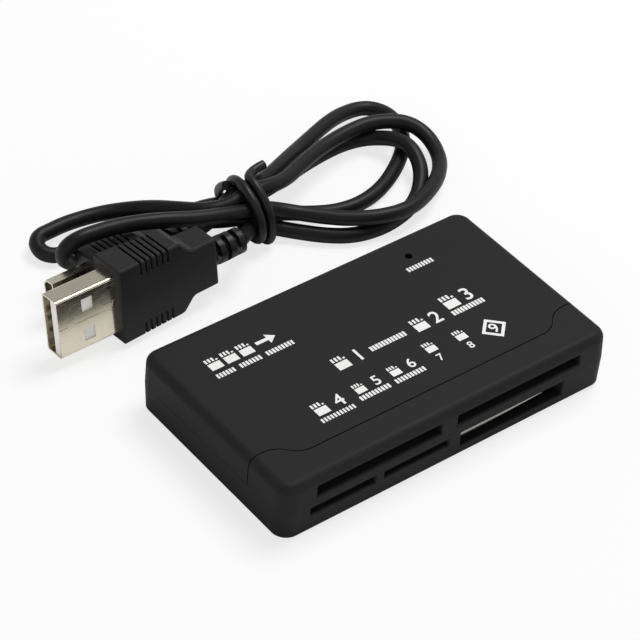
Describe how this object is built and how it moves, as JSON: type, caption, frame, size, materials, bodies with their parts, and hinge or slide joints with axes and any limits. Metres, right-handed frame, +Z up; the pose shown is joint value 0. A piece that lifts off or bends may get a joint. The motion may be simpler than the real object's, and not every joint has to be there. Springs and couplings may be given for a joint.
{
  "type": "memory card reader",
  "caption": "Flat black memory card reader with card slots along its front, a wavy seam across its top and a detachable lead tied in a hank beside it",
  "frame": {"origin": "on the surface it rests on, under the centre of the reader's case, the lead not counted", "axes": "+X to the right along the card slots, the reader's longest side; +Y from the slotted front to the back; +Z up, its shortest side"},
  "size_m": [0.0978, 0.0907, 0.0165],
  "materials": {
    "case_black": "fine grain",
    "socket_black": "moulded",
    "board_green": "solder mask",
    "contact_gold": "plated",
    "shield_steel": "rolled sheet",
    "lamp_clear": "clear",
    "chip_black": "moulded",
    "tinned": "tinned",
    "capacitor_amber": "moulded",
    "capacitor_tan": "fired",
    "plug_nickel": "nickel plated",
    "insulator_white": "moulded",
    "moulding_black": "satin",
    "cord_black": "satin",
    "tie_black": "coated wire"
  },
  "bodies": {
    "root": {"bottom_case": "case_black", "top_cover": "case_black", "circuit_board": "board_green", "full_card_socket": "socket_black", "picture_card_socket": "socket_black", "micro_card_socket": "socket_black", "tiny_card_socket": "socket_black", "stick_card_socket": "socket_black", "pin_card_socket": "socket_black", "full_card_contacts": "contact_gold", "picture_card_contacts": "contact_gold", "micro_card_contacts": "contact_gold", "tiny_card_contacts": "contact_gold", "stick_card_contacts": "contact_gold", "pin_card_pins": "contact_gold", "full_card_shield": "shield_steel", "picture_card_shield": "shield_steel", "micro_card_shield": "shield_steel", "tiny_card_shield": "shield_steel", "stick_card_shield": "shield_steel", "mini_socket_shell": "shield_steel", "mini_socket_tongue": "socket_black", "mini_socket_contacts": "contact_gold", "indicator_led": "lamp_clear", "controller_chip": "chip_black", "chip_leads": "tinned", "crystal": "tinned", "regulator": "chip_black", "bulk_capacitor": "capacitor_amber", "capacitors": "capacitor_tan", "resistors": "chip_black", "plug_shell": "plug_nickel", "plug_insulator": "insulator_white", "plug_contacts": "contact_gold", "plug_moulding": "moulding_black", "mini_plug_shell": "plug_nickel", "mini_plug_core": "socket_black", "mini_plug_contacts": "contact_gold", "mini_plug_moulding": "moulding_black", "lead_tail": "cord_black", "lead_tail_mini": "cord_black", "lead_hank": "cord_black", "twist_tie": "tie_black"}
  },
  "joints": []
}
